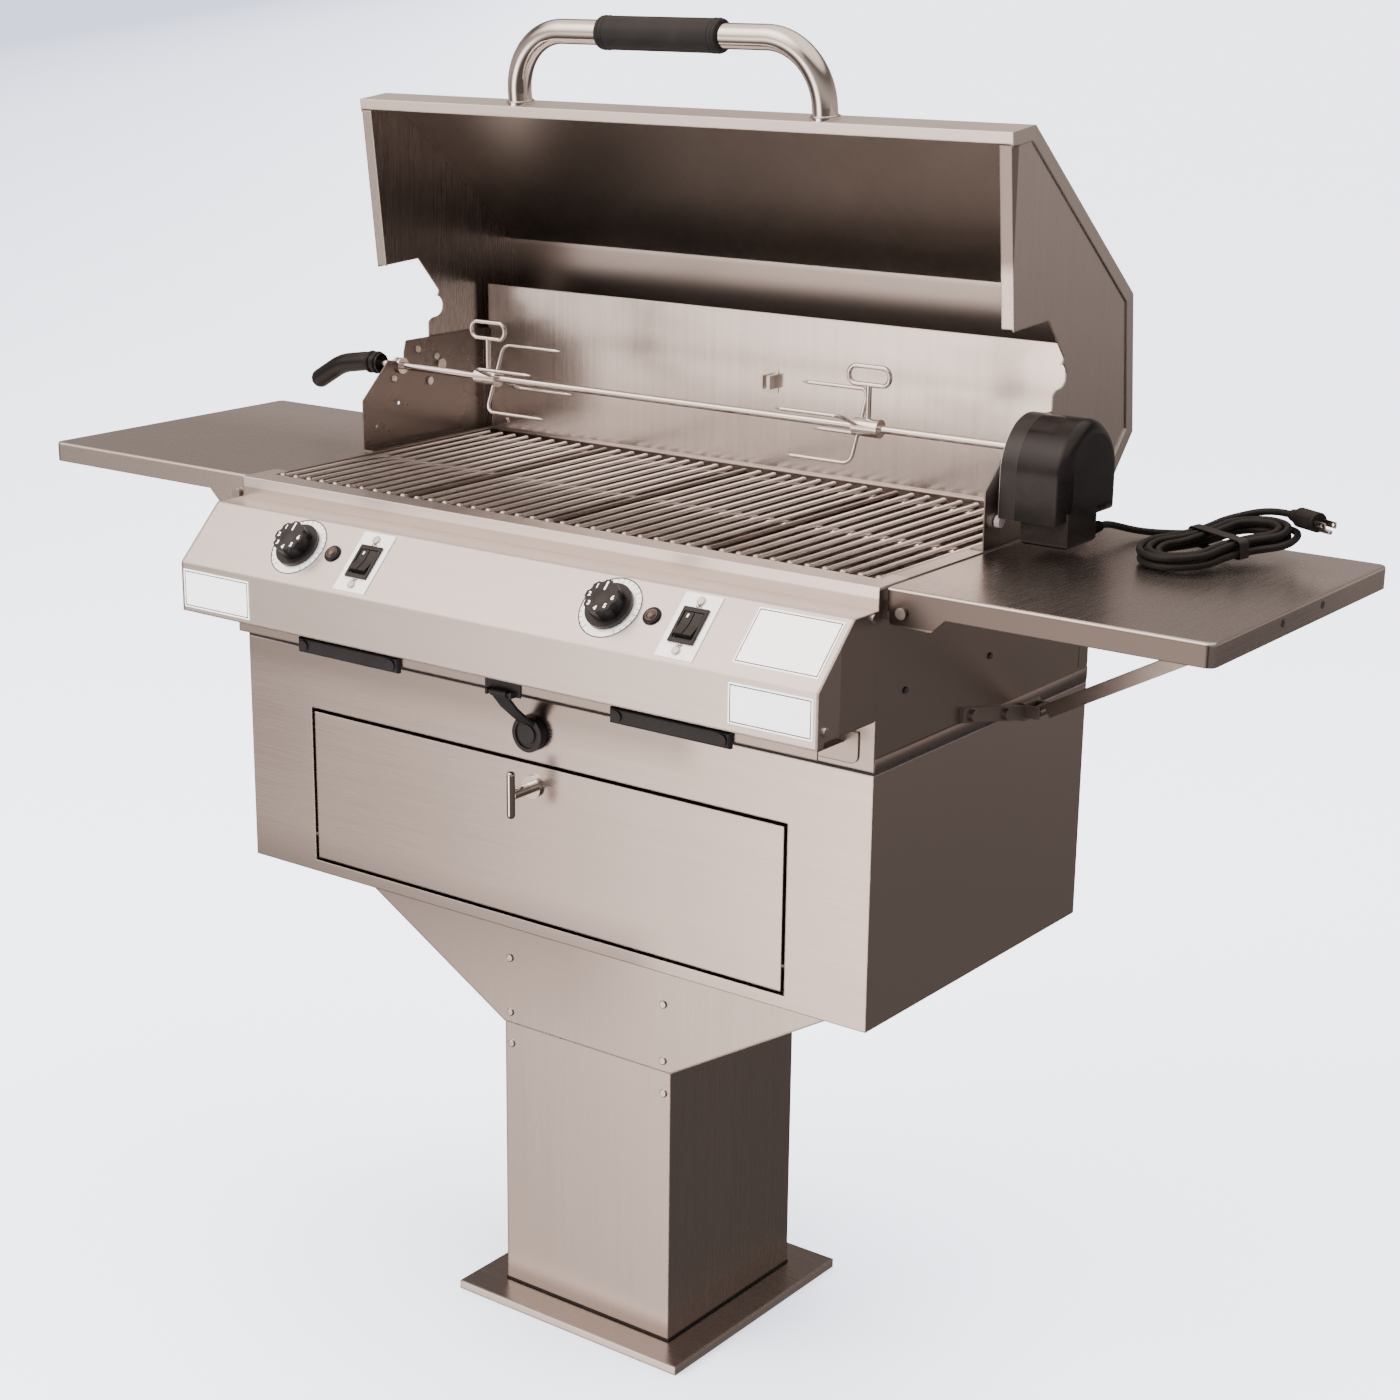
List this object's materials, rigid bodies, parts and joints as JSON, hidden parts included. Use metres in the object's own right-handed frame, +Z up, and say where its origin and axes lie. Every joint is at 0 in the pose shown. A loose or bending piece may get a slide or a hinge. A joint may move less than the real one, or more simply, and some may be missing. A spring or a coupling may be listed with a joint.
{
  "type": "pedestal cooking grill",
  "caption": "Outdoor electric cooking grill on a square pedestal, with a lifting hood, rotisserie spit and motor, rod grates, drip tray, cabinet and folding side shelves.",
  "frame": {"origin": "centre of the base plate's underside", "axes": "+Z up, front and control panel toward -Y, right side with the motor toward +X"},
  "size_m": [1.453, 0.5681, 1.3981],
  "materials": {
    "stainless": "brushed",
    "stainless_dark": "brushed, heat-toned",
    "bright_steel": "polished",
    "zinc": "satin",
    "black_plastic": "moulded matt",
    "black_gloss": "satin",
    "cord_rubber": "matt",
    "element": "oxidised sheath",
    "lamp": "dark lens",
    "bare_plate": "matt"
  },
  "bodies": {
    "stand": {"base_plate": "stainless", "column": "stainless", "column_screws": "zinc", "transition_front": "stainless", "transition_back": "stainless", "transition_sides": "stainless", "cabinet_shell": "stainless", "door_hinge_pins": "zinc", "body_shell": "stainless", "inner_rails": "zinc", "control_panel": "stainless", "panel_ends": "stainless", "panel_screws": "zinc", "dial_rings": "bare_plate", "control_bodies": "black_plastic", "indicator_lamps": "lamp", "switch_plates": "bright_steel", "label_plates": "bare_plate", "heating_elements": "element", "grate_1": "stainless_dark", "grate_2": "stainless_dark", "grate_3": "stainless_dark", "grate_4": "stainless_dark", "firebox_sides": "stainless", "firebox_screws": "zinc", "back_wall": "stainless", "sensor_clip": "zinc", "hood_pivot_bolts": "zinc", "motor_bracket": "stainless", "motor_housing": "black_gloss", "cord_relief": "black_plastic", "cord_lead": "cord_rubber", "cord_hank": "cord_rubber", "plug": "black_plastic", "shelf_hinges": "zinc", "shelf_channels": "zinc"},
    "hood": {"hood_skin": "stainless", "hood_sides": "stainless", "hood_handle": "bright_steel", "hood_grip": "black_plastic"},
    "door": {"cabinet_door": "stainless"},
    "latch": {"door_latch": "bright_steel"},
    "tray": {"drip_tray": "stainless", "tray_grips": "black_plastic", "tray_latch_plate": "black_plastic"},
    "tray_arm": {"tray_latch_arm": "black_plastic"},
    "knob_l": {"knob_left": "black_plastic"},
    "knob_r": {"knob_right": "black_plastic"},
    "rocker_l": {"rocker_left": "black_gloss"},
    "rocker_r": {"rocker_right": "black_gloss"},
    "spit": {"spit_rod": "bright_steel", "spit_handle": "black_plastic"},
    "fork_l": {"fork_left": "bright_steel"},
    "fork_r": {"fork_right": "bright_steel"},
    "thumb_l": {"thumbscrew_left": "bright_steel"},
    "thumb_r": {"thumbscrew_right": "bright_steel"},
    "shelf_l": {"shelf_left": "stainless"},
    "shelf_r": {"shelf_right": "stainless"},
    "stay_l": {"shelf_stay_left": "zinc"},
    "stay_r": {"shelf_stay_right": "zinc"}
  },
  "joints": [
    {"name": "hood_swing", "type": "hinge", "parent": "stand", "child": "hood", "pos_m": [0, 0.117, 0.998], "axis": [1, 0, 0], "range_deg": [0, 83.5]},
    {"name": "door_drop", "type": "hinge", "parent": "stand", "child": "door", "pos_m": [0, -0.194, 0.523], "axis": [1, 0, 0], "range_deg": [0, 90]},
    {"name": "latch_turn", "type": "hinge", "parent": "door", "child": "latch", "pos_m": [0, -0.2, 0.644], "axis": [0, -1, 0], "range_deg": [0, 90]},
    {"name": "tray_slide", "type": "slide", "parent": "stand", "child": "tray", "axis": [0, -1, 0], "range_m": [0, 0.3]},
    {"name": "tray_arm_swing", "type": "hinge", "parent": "tray", "child": "tray_arm", "pos_m": [0, -0.251, 0.755], "axis": [-1, 0, 0], "range_deg": [0, 90]},
    {"name": "knob_left_turn", "type": "hinge", "parent": "stand", "child": "knob_l", "pos_m": [-0.26, -0.26377, 0.86783], "axis": [0, 0.7071, -0.7071], "range_deg": [0, 280]},
    {"name": "knob_right_turn", "type": "hinge", "parent": "stand", "child": "knob_r", "pos_m": [0.15, -0.26377, 0.86783], "axis": [0, 0.7071, -0.7071], "range_deg": [0, 280]},
    {"name": "rocker_left_tilt", "type": "hinge", "parent": "stand", "child": "rocker_l", "pos_m": [-0.165, -0.26335, 0.86259], "axis": [1, 0, 0], "range_deg": [0, 16]},
    {"name": "rocker_right_tilt", "type": "hinge", "parent": "stand", "child": "rocker_r", "pos_m": [0.244, -0.26335, 0.86259], "axis": [1, 0, 0], "range_deg": [0, 16]},
    {"name": "spit_turn", "type": "hinge", "parent": "stand", "child": "spit", "pos_m": [0, 0.05, 1.0045], "axis": [1, 0, 0], "continuous": true},
    {"name": "fork_left_slide", "type": "slide", "parent": "spit", "child": "fork_l", "axis": [1, 0, 0], "range_m": [-0.06, 0.06]},
    {"name": "fork_right_slide", "type": "slide", "parent": "spit", "child": "fork_r", "axis": [1, 0, 0], "range_m": [-0.06, 0.06]},
    {"name": "thumbscrew_left_turn", "type": "hinge", "parent": "fork_l", "child": "thumb_l", "pos_m": [-0.27, 0.05, 1.0045], "axis": [0, 0, 1], "range_deg": [0, 180]},
    {"name": "thumbscrew_right_turn", "type": "hinge", "parent": "fork_r", "child": "thumb_r", "pos_m": [0.23, 0.05, 1.0045], "axis": [0, 0, 1], "range_deg": [0, 180]},
    {"name": "shelf_left_fold", "type": "hinge", "parent": "stand", "child": "shelf_l", "pos_m": [-0.425, 0, 0.892], "axis": [0, -1, 0], "range_deg": [0, 80]},
    {"name": "shelf_right_fold", "type": "hinge", "parent": "stand", "child": "shelf_r", "pos_m": [0.425, 0, 0.892], "axis": [0, 1, 0], "range_deg": [0, 80]},
    {"name": "stay_left_fold", "type": "hinge", "parent": "stand", "child": "stay_l", "pos_m": [-0.421, 0.085, 0.737], "axis": [0, -1, 0], "range_deg": [0, 109]},
    {"name": "stay_right_fold", "type": "hinge", "parent": "stand", "child": "stay_r", "pos_m": [0.421, 0.085, 0.737], "axis": [0, 1, 0], "range_deg": [0, 109]}
  ],
  "couplings": [
    {"joint": "stay_left_fold", "follows": "shelf_left_fold", "ratio": 1.36},
    {"joint": "stay_right_fold", "follows": "shelf_right_fold", "ratio": 1.36}
  ]
}
